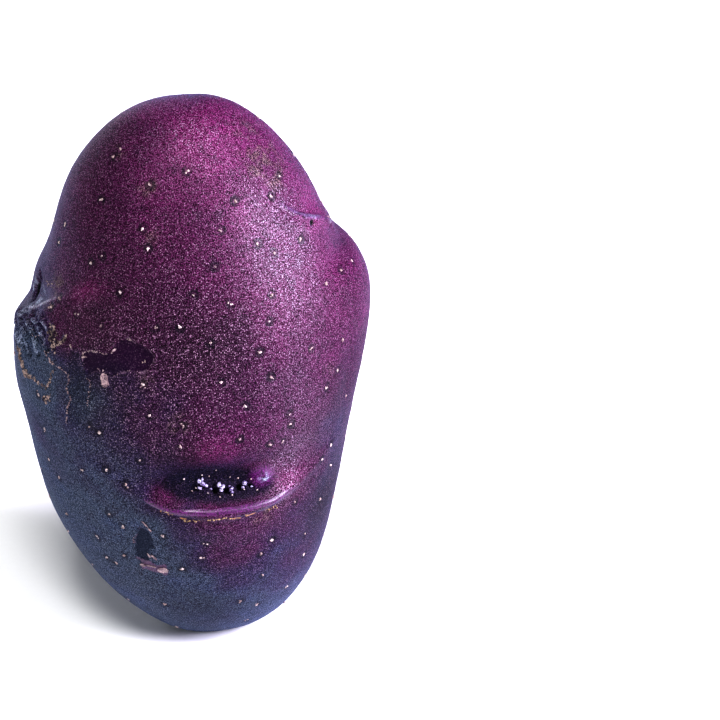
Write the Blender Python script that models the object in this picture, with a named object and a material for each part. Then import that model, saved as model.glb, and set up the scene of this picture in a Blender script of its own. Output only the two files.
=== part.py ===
"""A purple-skinned potato, standing on its stem end as picked.

The tuber grew as one piece, so it is one solid. Metres, +Z up, with the origin in the middle of
the flat spot that it stands on. An azimuth is in degrees round +Z: 0 is the front (-Y), 90 the
right (+X), 180 the back and -90 the left.
"""

import math
import random

import bmesh
import bpy
import numpy as np
from mathutils import Vector, noise

MM = 0.001

# The body. Each outline gives the half width, in millimetres, that an ellipse through the surface
# would have at latitudes from the stem end (-90) to the rose end (90).
HEIGHT = 93.7
STEM_END_CUT = 2.6
AXIS_X = -0.3
LATITUDES = (-90, -60, -30, 0, 30, 60, 90)
OUTLINES = {
    "left": (23.0, 26.0, 29.5, 28.5, 29.5, 32.0, 40.0),
    "right": (34.5, 27.5, 24.0, 23.5, 25.0, 23.5, 22.5),
    "front": (26.0, 26.5, 27.0, 27.0, 26.5, 25.0, 23.0),
    "back": (26.0, 26.0, 26.0, 26.0, 25.5, 24.5, 23.0),
}

# The mesh: an icosphere, split once more over each eye and again along a brow that stands out.
# An eye's zone is in parts of its width, round and up, and a brow's is in mm on either side.
SPHERE_SUBDIVISIONS = 5
EYE_ZONE = (0.58, 0.30)
BROW_ZONE = 1.9
BROW_THAT_STANDS_OUT = 0.9

# Swellings and hollows, in degrees and mm: name, azimuth, height, half width round the tuber,
# half length above the middle and below it, and rise.
LUMPS = (
    ("lobe under the right eye", 88, 62, 16, 9, 15, 4.4),
    ("hollow above the right eye", 92, 70, 10, 6, 2, -1.4),
    ("lobe under the left eye", -92, 50, 18, 12, 10, 2.5),
    ("hollow above the left eye", -92, 71, 22, 9, 7, -1.4),
    ("crown of the rose end", -10, 90, 10, 8, 8, 0.6),
    ("groove down the right", 66, 50, 3.0, 7, 7, -0.4),
    ("shoulder above the front eye", 12, 48, 14, 7, 7, 0.6),
    ("flat of the back", 175, 52, 16, 18, 18, -1.0),
    ("heel of the back", -160, 20, 14, 9, 9, 0.8),
)

# Eyes, in mm and degrees: azimuth, height, width of the brow, drop of its middle below its ends,
# depth of the pit above it, height of the brow, and tilt of the whole eye. They climb the tuber in
# a spiral, crowded at the rose end.
EYES = (
    ("front", 9, 36, 31, 2.8, 2.6, 1.5, -3),
    ("left", -78, 60, 22, 2.5, 1.9, 1.1, 24),
    ("right", 74, 76, 19, 1.0, 0.5, 0.9, -20),
    ("back_low", 150, 30, 22, 3.0, 1.7, 0.9, -4),
    ("back_middle", -146, 48, 20, 2.5, 1.6, 0.8, 5),
    ("back_high", 152, 70, 16, 2.0, 1.3, 0.7, 0),
    ("heel", -110, 22, 15, 2.0, 1.2, 0.6, 6),
    ("rose_end_a", -150, 86, 11, 1.5, 1.1, 0.5, 0),
    ("rose_end_b", 168, 88, 9, 1.2, 0.8, 0.4, 0),
)
PIT_ABOVE_BROW = 0.17
PIT_HALF_WIDTH = 0.34
PIT_HALF_LENGTH = 0.13
BROW_HALF_THICKNESS = 1.3

# The scar that the runner left at the stem end.
RUNNER_SCAR = {"azimuth": 172, "height": 5.5, "radius": 3.0, "depth": 1.2, "rim": 0.4}

# Gentle unevenness of the flesh: size of a wave and how far it moves the surface, in mm.
WAVES = ((24, 0.55), (9, 0.16))
WAVE_ORIGIN = Vector((3.1, 7.4, 1.9))

# Lenticels, the corky pores that dot the skin.
LENTICEL_SEED = 7
LENTICEL_COUNT = 120
LENTICEL_RADIUS = 0.45
LENTICEL_RISE = 0.28
LENTICEL_SPACING = 6.0
LENTICEL_FLOOR = 3.0

SKIN_COLOUR = (0.085, 0.012, 0.07, 1.0)
SKIN_ROUGHNESS = 0.45


def clear_scene():
    for obj in list(bpy.data.objects):
        bpy.data.objects.remove(obj)


def along(values, latitude):
    """One outline's half width at a latitude, on a smooth curve through its seven values."""
    slopes = np.gradient(values, LATITUDES)
    i = min(int(np.searchsorted(LATITUDES, latitude, side="right")) - 1, len(values) - 2)
    span = LATITUDES[i + 1] - LATITUDES[i]
    s = (latitude - LATITUDES[i]) / span
    return (
        (1 + 2 * s) * (1 - s) ** 2 * values[i]
        + s * (1 - s) ** 2 * span * slopes[i]
        + s * s * (3 - 2 * s) * values[i + 1]
        + s * s * (s - 1) * span * slopes[i + 1]
    )


def body_point(direction):
    """Where the smooth body lies in a direction from its middle, in millimetres."""
    d = direction.normalized()
    latitude = math.degrees(math.asin(max(-1.0, min(1.0, d.z))))
    level = math.cos(math.radians(latitude))
    across = along(OUTLINES["right" if d.x > 0 else "left"], latitude)
    deep = along(OUTLINES["back" if d.y > 0 else "front"], latitude)
    turn = math.atan2(d.y, d.x)
    reach = level / math.hypot(math.cos(turn) / across, math.sin(turn) / deep)
    half = (HEIGHT + STEM_END_CUT) / 2
    return Vector((
        AXIS_X + reach * math.cos(turn),
        reach * math.sin(turn),
        half - STEM_END_CUT + half * d.z,
    ))


def place(azimuth, height):
    """A point on the smooth body with its own axes: round the tuber, up it, and out of it."""
    turn = math.radians(azimuth)
    half = (HEIGHT + STEM_END_CUT) / 2
    rise = max(-0.999, min(0.999, (height + STEM_END_CUT - half) / half))
    flat = math.sqrt(1 - rise * rise)
    toward = Vector((math.sin(turn), -math.cos(turn), 0.0))
    here = toward * flat + Vector((0, 0, rise))
    point = body_point(here)
    step = 0.02
    side = Vector((math.cos(turn), math.sin(turn), 0.0))
    upward = Vector((0, 0, 1)) - here * rise
    round_way = (body_point(here + side * step) - body_point(here - side * step)).normalized()
    up_way = (body_point(here + upward * step) - body_point(here - upward * step)).normalized()
    out = round_way.cross(up_way).normalized()
    return point, round_way, out.cross(round_way), out


def local(co, spot):
    """How far a point is round, up and out from a placed spot, in millimetres."""
    point, round_way, up_way, out = spot
    offset = co - point
    return offset.dot(round_way), offset.dot(up_way), offset.dot(out)


def bell(x, half):
    return math.exp(-((x / half) ** 2))


def lump_height(u, v, w, lump):
    _, _, _, half_round, half_above, half_below, rise = lump
    along_height = bell(v, half_above if v > 0 else half_below)
    return rise * bell(u, half_round) * along_height * bell(w, 2 * half_round)


def along_eye(u, v, eye):
    """How far a place is along the eye, up it, and above the arc of its brow."""
    _, _, _, width, drop, _, _, tilt = eye
    turn = math.radians(tilt)
    u, v = u * math.cos(turn) + v * math.sin(turn), v * math.cos(turn) - u * math.sin(turn)
    arc = drop * (min(abs(2 * u / width), 1.3) ** 2 - 0.5)
    return u, v, v - arc


def eye_height(u, v, w, eye):
    """The pit, and the brow that hangs below it in an arc like a smile."""
    _, _, _, width, drop, depth, brow, _ = eye
    u, v, above = along_eye(u, v, eye)
    fade = bell(u, 0.43 * width) * bell(w, width)
    crest = brow * bell(above, BROW_HALF_THICKNESS) * fade
    shelf = 0.45 * brow * bell(above + 3.2, 3.0) * fade
    pit_v = v + 0.5 * drop - PIT_ABOVE_BROW * width
    pit = -depth * bell(u, PIT_HALF_WIDTH * width) * bell(pit_v, PIT_HALF_LENGTH * width)
    return crest + shelf + pit * bell(w, width)


def scar_height(u, v, w):
    far = math.hypot(u, v)
    radius = RUNNER_SCAR["radius"]
    hole = -RUNNER_SCAR["depth"] * bell(far, 0.6 * radius)
    rim = RUNNER_SCAR["rim"] * bell(far - radius, 0.7)
    return (hole + rim) * bell(w, 2 * radius)


def wave_height(co):
    return sum(size * noise.noise(co / wave + WAVE_ORIGIN) for wave, size in WAVES)


def in_eye(co, spot, eye):
    u, v, w = local(body_point(co), spot)
    u, v, _ = along_eye(u, v, eye)
    return math.hypot(u / EYE_ZONE[0], v / EYE_ZONE[1]) < eye[3] and abs(w) < eye[3]


def on_brow(co, spot, eye):
    u, v, w = local(body_point(co), spot)
    u, _, above = along_eye(u, v, eye)
    return abs(above) < BROW_ZONE and abs(u) < EYE_ZONE[0] * eye[3] and abs(w) < eye[3]


def split_where(bm, wanted, spots):
    """Splits the edges whose ends both lie in a zone."""
    near = {v for v in bm.verts if any(wanted(v.co, spot, eye) for spot, eye in spots)}
    edges = [e for e in bm.edges if e.verts[0] in near and e.verts[1] in near]
    bmesh.ops.subdivide_edges(bm, edges=edges, cuts=1, use_grid_fill=True)
    bmesh.ops.triangulate(bm, faces=bm.faces)
    for v in bm.verts:
        v.co.normalize()


def raise_lenticels(bm):
    """Cuts a six-sided facet at well-spaced vertices and raises each into a low dome."""
    rng = random.Random(LENTICEL_SEED)
    candidates = [
        v
        for v in bm.verts
        if v.co.z > LENTICEL_FLOOR and len(v.link_edges) == 6
        and min(e.calc_length() for e in v.link_edges) > 2.6 * LENTICEL_RADIUS
    ]
    rng.shuffle(candidates)
    chosen = []
    for v in candidates:
        if all((v.co - c.co).length > LENTICEL_SPACING for c in chosen):
            chosen.append(v)
    chosen = chosen[:LENTICEL_COUNT]
    summits = [(v.co.copy(), v.normal.copy()) for v in chosen]
    cut = bmesh.ops.bevel(
        bm, geom=chosen, offset=LENTICEL_RADIUS, offset_type="OFFSET", segments=1,
        affect="VERTICES", clamp_overlap=True,
    )
    facets = [f for f in cut["faces"] if f.is_valid]
    poked = bmesh.ops.poke(bm, faces=facets)
    for v in poked["verts"]:
        summit, normal = min(summits, key=lambda s: (s[0] - v.co).length_squared)
        v.co = summit + normal * LENTICEL_RISE
    return len(facets)


def stand_flat(bm):
    """Takes off what lies below the flat spot and closes it with one flat face."""
    cut = bmesh.ops.bisect_plane(
        bm, geom=bm.verts[:] + bm.edges[:] + bm.faces[:], plane_co=(0, 0, 0),
        plane_no=(0, 0, 1), clear_inner=True,
    )
    rim = [g for g in cut["geom_cut"] if isinstance(g, bmesh.types.BMEdge)]
    bmesh.ops.contextual_create(bm, geom=rim)


def grow_tuber():
    bm = bmesh.new()
    bmesh.ops.create_icosphere(bm, subdivisions=SPHERE_SUBDIVISIONS, radius=1.0)
    eye_spots = [(place(eye[1], eye[2]), eye) for eye in EYES]
    split_where(bm, in_eye, eye_spots)
    split_where(bm, on_brow, [pair for pair in eye_spots if pair[1][6] >= BROW_THAT_STANDS_OUT])
    for v in bm.verts:
        v.co = body_point(v.co)
    bm.normal_update()

    lump_spots = [(place(lump[1], lump[2]), lump) for lump in LUMPS]
    scar_spot = place(RUNNER_SCAR["azimuth"], RUNNER_SCAR["height"])
    moved = []
    for v in bm.verts:
        height = wave_height(v.co) + scar_height(*local(v.co, scar_spot))
        height += sum(lump_height(*local(v.co, spot), lump) for spot, lump in lump_spots)
        height += sum(eye_height(*local(v.co, spot), eye) for spot, eye in eye_spots)
        moved.append(v.co + v.normal * height)
    for v, co in zip(bm.verts, moved):
        v.co = co
    bm.normal_update()
    raise_lenticels(bm)
    stand_flat(bm)
    bmesh.ops.scale(bm, vec=(MM, MM, MM), verts=bm.verts)
    bmesh.ops.recalc_face_normals(bm, faces=bm.faces)
    return bm


def skin_material():
    material = bpy.data.materials.new("purple potato skin")
    material.use_nodes = True
    shader = material.node_tree.nodes["Principled BSDF"]
    shader.inputs["Base Color"].default_value = SKIN_COLOUR
    shader.inputs["Roughness"].default_value = SKIN_ROUGHNESS
    shader.inputs["Metallic"].default_value = 0.0
    return material


def make_potato():
    mesh = bpy.data.meshes.new("potato")
    bm = grow_tuber()
    bm.to_mesh(mesh)
    bm.free()
    mesh.shade_smooth()
    mesh.set_sharp_from_angle(angle=math.radians(50))
    mesh.materials.append(skin_material())
    potato = bpy.data.objects.new("potato", mesh)
    bpy.context.scene.collection.objects.link(potato)
    return potato


def main():
    clear_scene()
    make_potato()


main()
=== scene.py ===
# %% [markdown]
# # A whole potato with purple skin
#
# The real thing grew as one piece: firm wet flesh under a thin corky skin. From a step away the eye
# reads a lumpy oval body, sunken eyes under their brows, pale pores and places where the skin is
# rubbed off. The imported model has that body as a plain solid. This file keeps its form, remakes its
# surface finely enough for the small relief, and adds what lies loose on it, the finishes, the
# camera and the light.

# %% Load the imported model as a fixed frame
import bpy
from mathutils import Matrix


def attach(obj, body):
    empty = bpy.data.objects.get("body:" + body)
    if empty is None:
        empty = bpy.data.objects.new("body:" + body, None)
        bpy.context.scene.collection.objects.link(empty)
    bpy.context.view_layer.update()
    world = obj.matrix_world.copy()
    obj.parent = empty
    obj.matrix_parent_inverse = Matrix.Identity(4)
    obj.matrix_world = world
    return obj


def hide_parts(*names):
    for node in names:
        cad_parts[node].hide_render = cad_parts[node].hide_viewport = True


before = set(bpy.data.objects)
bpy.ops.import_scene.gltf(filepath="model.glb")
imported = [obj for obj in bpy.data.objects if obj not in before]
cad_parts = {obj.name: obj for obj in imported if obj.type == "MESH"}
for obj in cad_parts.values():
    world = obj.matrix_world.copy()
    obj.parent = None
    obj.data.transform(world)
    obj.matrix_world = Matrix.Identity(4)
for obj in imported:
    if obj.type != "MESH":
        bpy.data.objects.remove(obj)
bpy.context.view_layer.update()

# %% [markdown]
# ## The camera
#
# The potato was photographed from about 28 degrees above it, from some way off, so its outline has
# little perspective. A long lens does the same here. The camera comes first because small marks are
# placed by their pixel in the photograph: a ray goes from the camera through the pixel, and the mark
# sits where that ray meets the skin.

# %% The camera, and the ray through a pixel
import math
import random

import bmesh
import bpy
import numpy as np
from mathutils import Vector, noise
from mathutils.bvhtree import BVHTree
from mathutils.kdtree import KDTree

MM = 0.001
IMAGE_PX = 720
LENS_MM = 135.0
SENSOR_MM = 36.0
LOOK_DOWN = math.radians(28)
CAMERA_DISTANCE_MM = 443.0
LOOK_AT_MM = np.array([25.2, 0.0, 47.7])

LENS_PX = LENS_MM / SENSOR_MM * IMAGE_PX
FORWARD = np.array([0.0, math.cos(LOOK_DOWN), -math.sin(LOOK_DOWN)])
UPWARD = np.array([0.0, math.sin(LOOK_DOWN), math.cos(LOOK_DOWN)])
EYE_POINT_MM = LOOK_AT_MM - FORWARD * CAMERA_DISTANCE_MM


def ray_through(pixel):
    """The direction from the camera through a pixel of the photograph."""
    across = (pixel[0] - IMAGE_PX / 2) / LENS_PX
    up = (IMAGE_PX / 2 - pixel[1]) / LENS_PX
    direction = FORWARD + np.array([across, 0.0, 0.0]) + UPWARD * up
    return direction / np.linalg.norm(direction)


def pixels_of(points):
    """Where points, in mm, fall in the photograph."""
    offset = points - EYE_POINT_MM
    depth = offset @ FORWARD
    x = IMAGE_PX / 2 + LENS_PX * offset[:, 0] / depth
    y = IMAGE_PX / 2 - LENS_PX * (offset @ UPWARD) / depth
    return np.stack([x, y], axis=1)


def in_scene(name, data):
    """A new object with the given data, linked to the scene."""
    thing = bpy.data.objects.new(name, data)
    bpy.context.scene.collection.objects.link(thing)
    return thing


camera_data = bpy.data.cameras.new("camera")
camera_data.lens = LENS_MM
camera_data.sensor_width = SENSOR_MM
camera = in_scene("camera", camera_data)
camera.location = Vector(EYE_POINT_MM * MM)
camera.rotation_euler = (math.pi / 2 - LOOK_DOWN, 0, 0)
bpy.context.scene.camera = camera
PX_MM = CAMERA_DISTANCE_MM / LENS_PX
print("one pixel is about", round(PX_MM, 3), "mm on the potato")

# %% [markdown]
# ## The body
#
# A tuber swells unevenly, so no primitive fits it. One could sculpt it, or subdivide a coarse cage,
# but then its sizes would be hard to change. Here four outlines (left, right, front and back) give
# the half width at seven latitudes, and an ellipse joins them at every height. Swellings, hollows and
# eyes are added as smooth bumps in millimetres. The values are the solid's own, so the fine surface
# keeps its form.

# %% The outlines of the body, in mm
HEIGHT = 93.7
STEM_END_CUT = 2.6
HALF_LENGTH = (HEIGHT + STEM_END_CUT) / 2
AXIS_X = -0.3
LATITUDES = np.array([-90, -60, -30, 0, 30, 60, 90])
OUTLINES = {
    "left": (23.0, 26.0, 29.5, 28.5, 29.5, 32.0, 40.0),
    "right": (34.5, 27.5, 24.0, 23.5, 25.0, 23.5, 22.5),
    "front": (26.0, 26.5, 27.0, 27.0, 26.5, 25.0, 23.0),
    "back": (26.0, 26.0, 26.0, 26.0, 25.5, 24.5, 23.0),
}


def along(name, latitude):
    """An outline's half width at each latitude, on a smooth curve through its seven values."""
    values = np.array(OUTLINES[name])
    slopes = np.gradient(values, LATITUDES)
    i = np.clip(np.searchsorted(LATITUDES, latitude, side="right") - 1, 0, len(values) - 2)
    span = LATITUDES[i + 1] - LATITUDES[i]
    s = (latitude - LATITUDES[i]) / span
    return (
        (1 + 2 * s) * (1 - s) ** 2 * values[i]
        + s * (1 - s) ** 2 * span * slopes[i]
        + s * s * (3 - 2 * s) * values[i + 1]
        + s * s * (s - 1) * span * slopes[i + 1]
    )


def body_points(directions):
    """Where the smooth body lies in each direction from its middle, in mm."""
    d = directions / np.linalg.norm(directions, axis=1, keepdims=True)
    latitude = np.degrees(np.arcsin(np.clip(d[:, 2], -1, 1)))
    across = np.where(d[:, 0] > 0, along("right", latitude), along("left", latitude))
    deep = np.where(d[:, 1] > 0, along("back", latitude), along("front", latitude))
    turn = np.arctan2(d[:, 1], d[:, 0])
    reach = np.cos(np.radians(latitude)) / np.hypot(np.cos(turn) / across, np.sin(turn) / deep)
    z = HALF_LENGTH - STEM_END_CUT + HALF_LENGTH * d[:, 2]
    return np.stack([AXIS_X + reach * np.cos(turn), reach * np.sin(turn), z], axis=1)


print("widest outline:", max(max(values) for values in OUTLINES.values()), "mm")

# %% [markdown]
# ## A grid for the skin
#
# An icosphere would crowd its points evenly but has no rows, and a UV sphere pinches at the poles. A
# box whose sides are cut in small squares and blown up to the body has neither fault. It is blown up
# from a point behind and right of its middle, so the squares are finest, about 0.35 mm, at the front
# left, where the torn edges are.

# %% A box grid blown up to the body
CELLS = (112, 100, 182)
TOWARD_FRONT_LEFT = np.array([-0.10, -0.20, 0.0])


def box_grid(cells):
    """The points and four-sided faces of a box's surface, from -1 to 1 on each axis."""
    sides = []
    for axis in range(3):
        n = [cells[(axis + k) % 3] for k in range(3)]
        u, v = np.meshgrid(np.arange(n[1]), np.arange(n[2]), indexing="ij")
        for end in (0, n[0]):
            corners = [
                np.roll(np.stack([np.full(u.shape, end), u + du, v + dv], -1), axis, axis=-1)
                for du, dv in ((0, 0), (1, 0), (1, 1), (0, 1))
            ]
            square = np.stack(corners, axis=2)
            sides.append((square if end else square[:, :, ::-1]).reshape(-1, 4, 3))
    points, index = np.unique(np.concatenate(sides).reshape(-1, 3), axis=0, return_inverse=True)
    return points / np.array(cells) * 2 - 1, index.reshape(-1, 4)


def normals_of(points, faces):
    """The way out of the surface at each point."""
    corner = points[faces]
    crossed = np.cross(corner[:, 2] - corner[:, 0], corner[:, 3] - corner[:, 1])
    total = np.zeros_like(points)
    for k in range(4):
        np.add.at(total, faces[:, k], crossed)
    return total / np.linalg.norm(total, axis=1, keepdims=True)


box_points, skin_faces = box_grid(CELLS)
base_points = body_points(np.tan(box_points * math.pi / 4) + TOWARD_FRONT_LEFT)
base_normals = normals_of(base_points, skin_faces)
print("skin grid:", len(base_points), "points,", len(skin_faces), "faces")

# %% [markdown]
# ## Swellings and eyes
#
# Every eye is a leaf scar: a brow, which is the old leaf base, hangs below a pit that holds the buds.
# The rose end of this potato is up, so the buds sit above their brows. The lobes beside the eyes are
# where the tuber grew faster. Each is a bell-shaped bump in its own place on the body, given by an
# azimuth from the front and a height.

# %% The sizes of the swellings and the eyes, in degrees and mm
LUMPS = (
    ("lobe under the right eye", 88, 62, 16, 9, 15, 4.4),
    ("hollow above the right eye", 92, 70, 10, 6, 2, -1.4),
    ("lobe under the left eye", -92, 50, 18, 12, 10, 2.5),
    ("hollow above the left eye", -92, 71, 22, 9, 7, -1.4),
    ("crown of the rose end", -10, 90, 10, 8, 8, 0.6),
    ("groove down the right", 66, 50, 3.0, 7, 7, -0.4),
    ("shoulder above the front eye", 12, 48, 14, 7, 7, 0.6),
    ("flat of the back", 175, 52, 16, 18, 18, -1.0),
    ("heel of the back", -160, 20, 14, 9, 9, 0.8),
)
EYES = (
    ("front", 9, 36, 31, 2.8, 2.6, 1.5, -3),
    ("left", -78, 60, 22, 2.5, 1.9, 1.1, 24),
    ("right", 74, 76, 19, 1.0, 0.5, 0.9, -20),
    ("back_low", 150, 30, 22, 3.0, 1.7, 0.9, -4),
    ("back_middle", -146, 48, 20, 2.5, 1.6, 0.8, 5),
    ("back_high", 152, 70, 16, 2.0, 1.3, 0.7, 0),
    ("heel", -110, 22, 15, 2.0, 1.2, 0.6, 6),
    ("rose_end_a", -150, 86, 11, 1.5, 1.1, 0.5, 0),
    ("rose_end_b", 168, 88, 9, 1.2, 0.8, 0.4, 0),
)
PIT_ABOVE_BROW = 0.17
PIT_HALF_WIDTH = 0.34
PIT_HALF_LENGTH = 0.13
PIT_THAT_DARKENS = 1.0
BROW_HALF_WIDTH = 0.43
BROW_HALF_THICKNESS = 1.3
UNDER_BROW_SHARE, UNDER_BROW_DROP, UNDER_BROW_HALF = 0.45, 3.2, 3.0
SCAR_AZIMUTH, SCAR_HEIGHT, SCAR_RADIUS, SCAR_DEPTH = 172, 5.5, 3.0, 1.2
SCAR_RIM, SCAR_RIM_HALF = 0.4, 0.7
WAVES = ((24, 0.55), (9, 0.16))
WAVE_ORIGIN = Vector((3.1, 7.4, 1.9))
print(len(LUMPS), "swellings and hollows,", len(EYES), "eyes")

# %% Places on the body
NUDGE = 0.02


def place(azimuth, height):
    """A point on the smooth body with its own axes: round the tuber, up it, and out of it."""
    turn = math.radians(azimuth)
    rise = max(-0.999, min(0.999, (height + STEM_END_CUT) / HALF_LENGTH - 1))
    toward = np.array([math.sin(turn), -math.cos(turn), 0.0])
    here = toward * math.sqrt(1 - rise * rise) + np.array([0, 0, rise])
    side = np.array([math.cos(turn), math.sin(turn), 0.0]) * NUDGE
    upward = (np.array([0, 0, 1.0]) - here * rise) * NUDGE
    around = body_points(np.array([here, here + side, here - side, here + upward, here - upward]))
    round_way = around[1] - around[2]
    up_way = around[3] - around[4]
    out = np.cross(round_way, up_way)
    round_way = round_way / np.linalg.norm(round_way)
    out = out / np.linalg.norm(out)
    return around[0], round_way, np.cross(out, round_way), out


def local(points, spot):
    """How far each point is round, up and out from a placed spot."""
    offset = points - spot[0]
    return offset @ spot[1], offset @ spot[2], offset @ spot[3]


def bell(x, half):
    """A smooth bump: 1 at 0, and about a third at the half width."""
    return np.exp(-((x / half) ** 2))


def along_eye(u, v, eye):
    """How far a place is along the eye, up it, and above the arc of its brow."""
    width, drop, tilt = eye[3], eye[4], math.radians(eye[7])
    u, v = u * math.cos(tilt) + v * math.sin(tilt), v * math.cos(tilt) - u * math.sin(tilt)
    return u, v, v - drop * (np.minimum(abs(2 * u / width), 1.3) ** 2 - 0.5)


def noise_at(size, seed, points=None):
    """Smooth noise from -1 to 1 at each point of the form, with waves of a size in mm."""
    shift = Vector((seed * 7.31, seed * 3.17, seed * 5.71))
    points = form_points if points is None else points
    return np.array([noise.noise(Vector(p) / size + shift) for p in points])


print("front eye at", place(EYES[0][1], EYES[0][2])[0].round(1), "mm")

# %% The body's form, and how deep each point lies in an eye
def form_height(points):
    """How far the swellings, the unevenness and the runner's scar move each point, in mm."""
    height = np.zeros(len(points))
    for size, rise in WAVES:
        height += rise * np.array([noise.noise(Vector(p) / size + WAVE_ORIGIN) for p in points])
    for _, azimuth, up, half_round, half_above, half_below, rise in LUMPS:
        u, v, w = local(points, place(azimuth, up))
        along_height = np.where(v > 0, bell(v, half_above), bell(v, half_below))
        height += rise * bell(u, half_round) * along_height * bell(w, 2 * half_round)
    u, v, w = local(points, place(SCAR_AZIMUTH, SCAR_HEIGHT))
    far = np.hypot(u, v)
    ring = SCAR_RIM * bell(far - SCAR_RADIUS, SCAR_RIM_HALF)
    height += (ring - SCAR_DEPTH * bell(far, 0.6 * SCAR_RADIUS)) * bell(w, 2 * SCAR_RADIUS)
    return height


pit_depth = np.zeros(len(base_points))
eye_rise = np.zeros(len(base_points))
for eye in EYES:
    u, v, w = local(base_points, place(eye[1], eye[2]))
    u, v, above = along_eye(u, v, eye)
    width, drop, depth, brow = eye[3:7]
    fade = bell(u, BROW_HALF_WIDTH * width) * bell(w, width)
    crest = bell(above, BROW_HALF_THICKNESS) * fade
    pit_v = v + 0.5 * drop - PIT_ABOVE_BROW * width
    pit = bell(u, PIT_HALF_WIDTH * width) * bell(pit_v, PIT_HALF_LENGTH * width) * bell(w, width)
    swelling = UNDER_BROW_SHARE * bell(above + UNDER_BROW_DROP, UNDER_BROW_HALF) * fade
    eye_rise += brow * crest + brow * swelling - depth * pit
    # The pits of the deeper eyes, all but the front and left ones, are marked for painted shade.
    if depth > PIT_THAT_DARKENS and eye[0] not in ("front", "left"):
        pit_depth = np.maximum(pit_depth, 0.8 * pit)

form_points = base_points + base_normals * (form_height(base_points) + eye_rise)[:, None]
form_points[:, 2] = np.maximum(form_points[:, 2], 0)
form_normals = normals_of(form_points, skin_faces)
print("form spans", (form_points.max(0) - form_points.min(0)).round(1), "mm")

# %% [markdown]
# ## Marks placed by pixel
#
# The small marks are this potato's own, so they go where the photograph shows them. A line of pixels
# becomes a line on the skin, and each point of the skin knows how far it is from that line. A patch
# is a ring of pixels, and each point knows how deep it lies inside the ring.

# %% From pixels to the skin
FAR_MM = 1e3
OUTSIDE_MM = -9.0
NOWHERE = np.zeros(len(form_points))
form_tree = BVHTree.FromPolygons([Vector(p) for p in form_points], skin_faces.tolist())


def on_skin(pixel, tree=form_tree):
    """The point where a pixel's ray meets the skin, and the way out of the skin there."""
    point, normal, _, _ = tree.ray_cast(Vector(EYE_POINT_MM), Vector(ray_through(pixel)))
    return (None, None) if point is None else (np.array(point), np.array(normal))


def reach_from(pixel):
    """Each point's distance in mm from the place that a pixel shows."""
    centre, _ = on_skin(pixel)
    if centre is None:
        return NOWHERE + FAR_MM
    return np.linalg.norm(form_points - centre, axis=1)


def distance_to_line(pixels):
    """Each point's distance in mm from a line drawn on the skin, and how far along it that is."""
    line = [point for point, _ in map(on_skin, pixels) if point is not None]
    best = NOWHERE + FAR_MM
    share = NOWHERE.copy()
    for k, (start, end) in enumerate(zip(line[:-1], line[1:])):
        step = end - start
        t = np.clip((form_points - start) @ step / (step @ step), 0, 1)
        far = np.linalg.norm(form_points - start - t[:, None] * step, axis=1)
        closer = far < best
        best[closer] = far[closer]
        share[closer] = (k + t[closer]) / (len(line) - 1)
    return best, share


form_pixels = pixels_of(form_points)
toward_camera = np.einsum("ij,ij->i", EYE_POINT_MM - form_points, form_normals) > 0


def depth_in_ring(ring):
    """How deep in mm each point lies inside a ring of pixels: below 0 outside it."""
    corners = np.array(ring, float)
    inside = NOWHERE.astype(bool)
    best = NOWHERE + FAR_MM
    for start, end in zip(corners, np.roll(corners, -1, axis=0)):
        step = end - start
        t = np.clip((form_pixels - start) @ step / (step @ step), 0, 1)
        best = np.minimum(best, np.linalg.norm(form_pixels - start - t[:, None] * step, axis=1))
        crosses = (start[1] > form_pixels[:, 1]) != (end[1] > form_pixels[:, 1])
        slope = step[0] / (step[1] if step[1] else 1e-9)
        inside ^= crosses & (form_pixels[:, 0] < start[0] + (form_pixels[:, 1] - start[1]) * slope)
    depth = np.where(inside, best, -best) * PX_MM
    return np.where(toward_camera, np.maximum(depth, OUTSIDE_MM), OUTSIDE_MM)


def depth_in_rings(rings):
    """How deep in mm each point lies inside the ring that holds it best."""
    return np.max([depth_in_ring(ring) for ring in rings.values()], axis=0)


print("rays ready; the middle of the front pit is at", on_skin((222, 486))[0].round(1), "mm")

# %% [markdown]
# ## Rubbed patches, cracks and crust
#
# Handling tears the thin skin off in scraps: it leaves a smooth, darker patch a fraction of a
# millimetre deep, with a torn pale rim. At the left the skin is cracked and crusted where the tuber
# grew against a stone. These are real relief, not only colour, so they also show from the side.

# %% Where the patches and lines are, in pixels of the photograph
RUBBED_PATCHES = {
    "scuff in the middle": (
        (83, 354), (88, 351), (98, 352), (103, 354), (108, 353), (113, 352), (114, 349), (117, 343),
        (121, 340), (128, 339), (137, 343), (145, 347), (150, 350), (153, 356), (153, 363),
        (149, 370), (143, 373), (137, 372), (131, 370), (126, 371), (120, 373), (113, 376),
        (109, 373), (102, 372), (98, 370), (94, 372), (88, 374), (85, 366), (84, 360),
    ),
    "scuff below": (
        (140, 527), (146, 528), (150, 533), (153, 540), (154, 545), (150, 550), (148, 555),
        (151, 561), (145, 562), (139, 558), (136, 553), (135, 545), (136, 536), (138, 531),
    ),
}
SCUFFS_BEHIND = ((132, 56, 2.6), (-128, 36, 2.0), (103, 33, 1.6), (-164, 74, 1.8), (175, 40, 1.3))
WORN_STRIP = (
    (70, 350), (78, 350), (83, 360), (86, 372), (91, 385), (88, 395), (87, 405), (86, 418),
    (79, 425), (70, 424), (67, 414), (69, 405), (72, 399), (69, 392), (68, 386), (70, 379),
    (66, 371), (70, 362),
)
TORN_FILM = (
    (141, 562), (150, 561), (158, 565), (165, 563), (169, 571), (166, 576), (158, 572), (148, 569),
    (143, 568),
)
# Painted highlight: pale blue-grey spots on the walls and brow of the left eye, on the rim of the left
# cheek and on the swelling by the front eye.
PAINTED_HIGHLIGHT_SPOTS = {
    (262, 474): 1.1, (33, 288): 0.7, (35, 280): 1.1, (39, 301): 1.2, (44, 293): 1.2, (31, 305): 0.8,
    (22, 311): 1.3, (20, 340): 1.6,
}
CRUMPLED_SPOTS = {(34, 330): 1.8, (42, 344): 2.0, (40, 325): 1.5, (58, 336): 1.8, (31, 289): 2.4}
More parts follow.
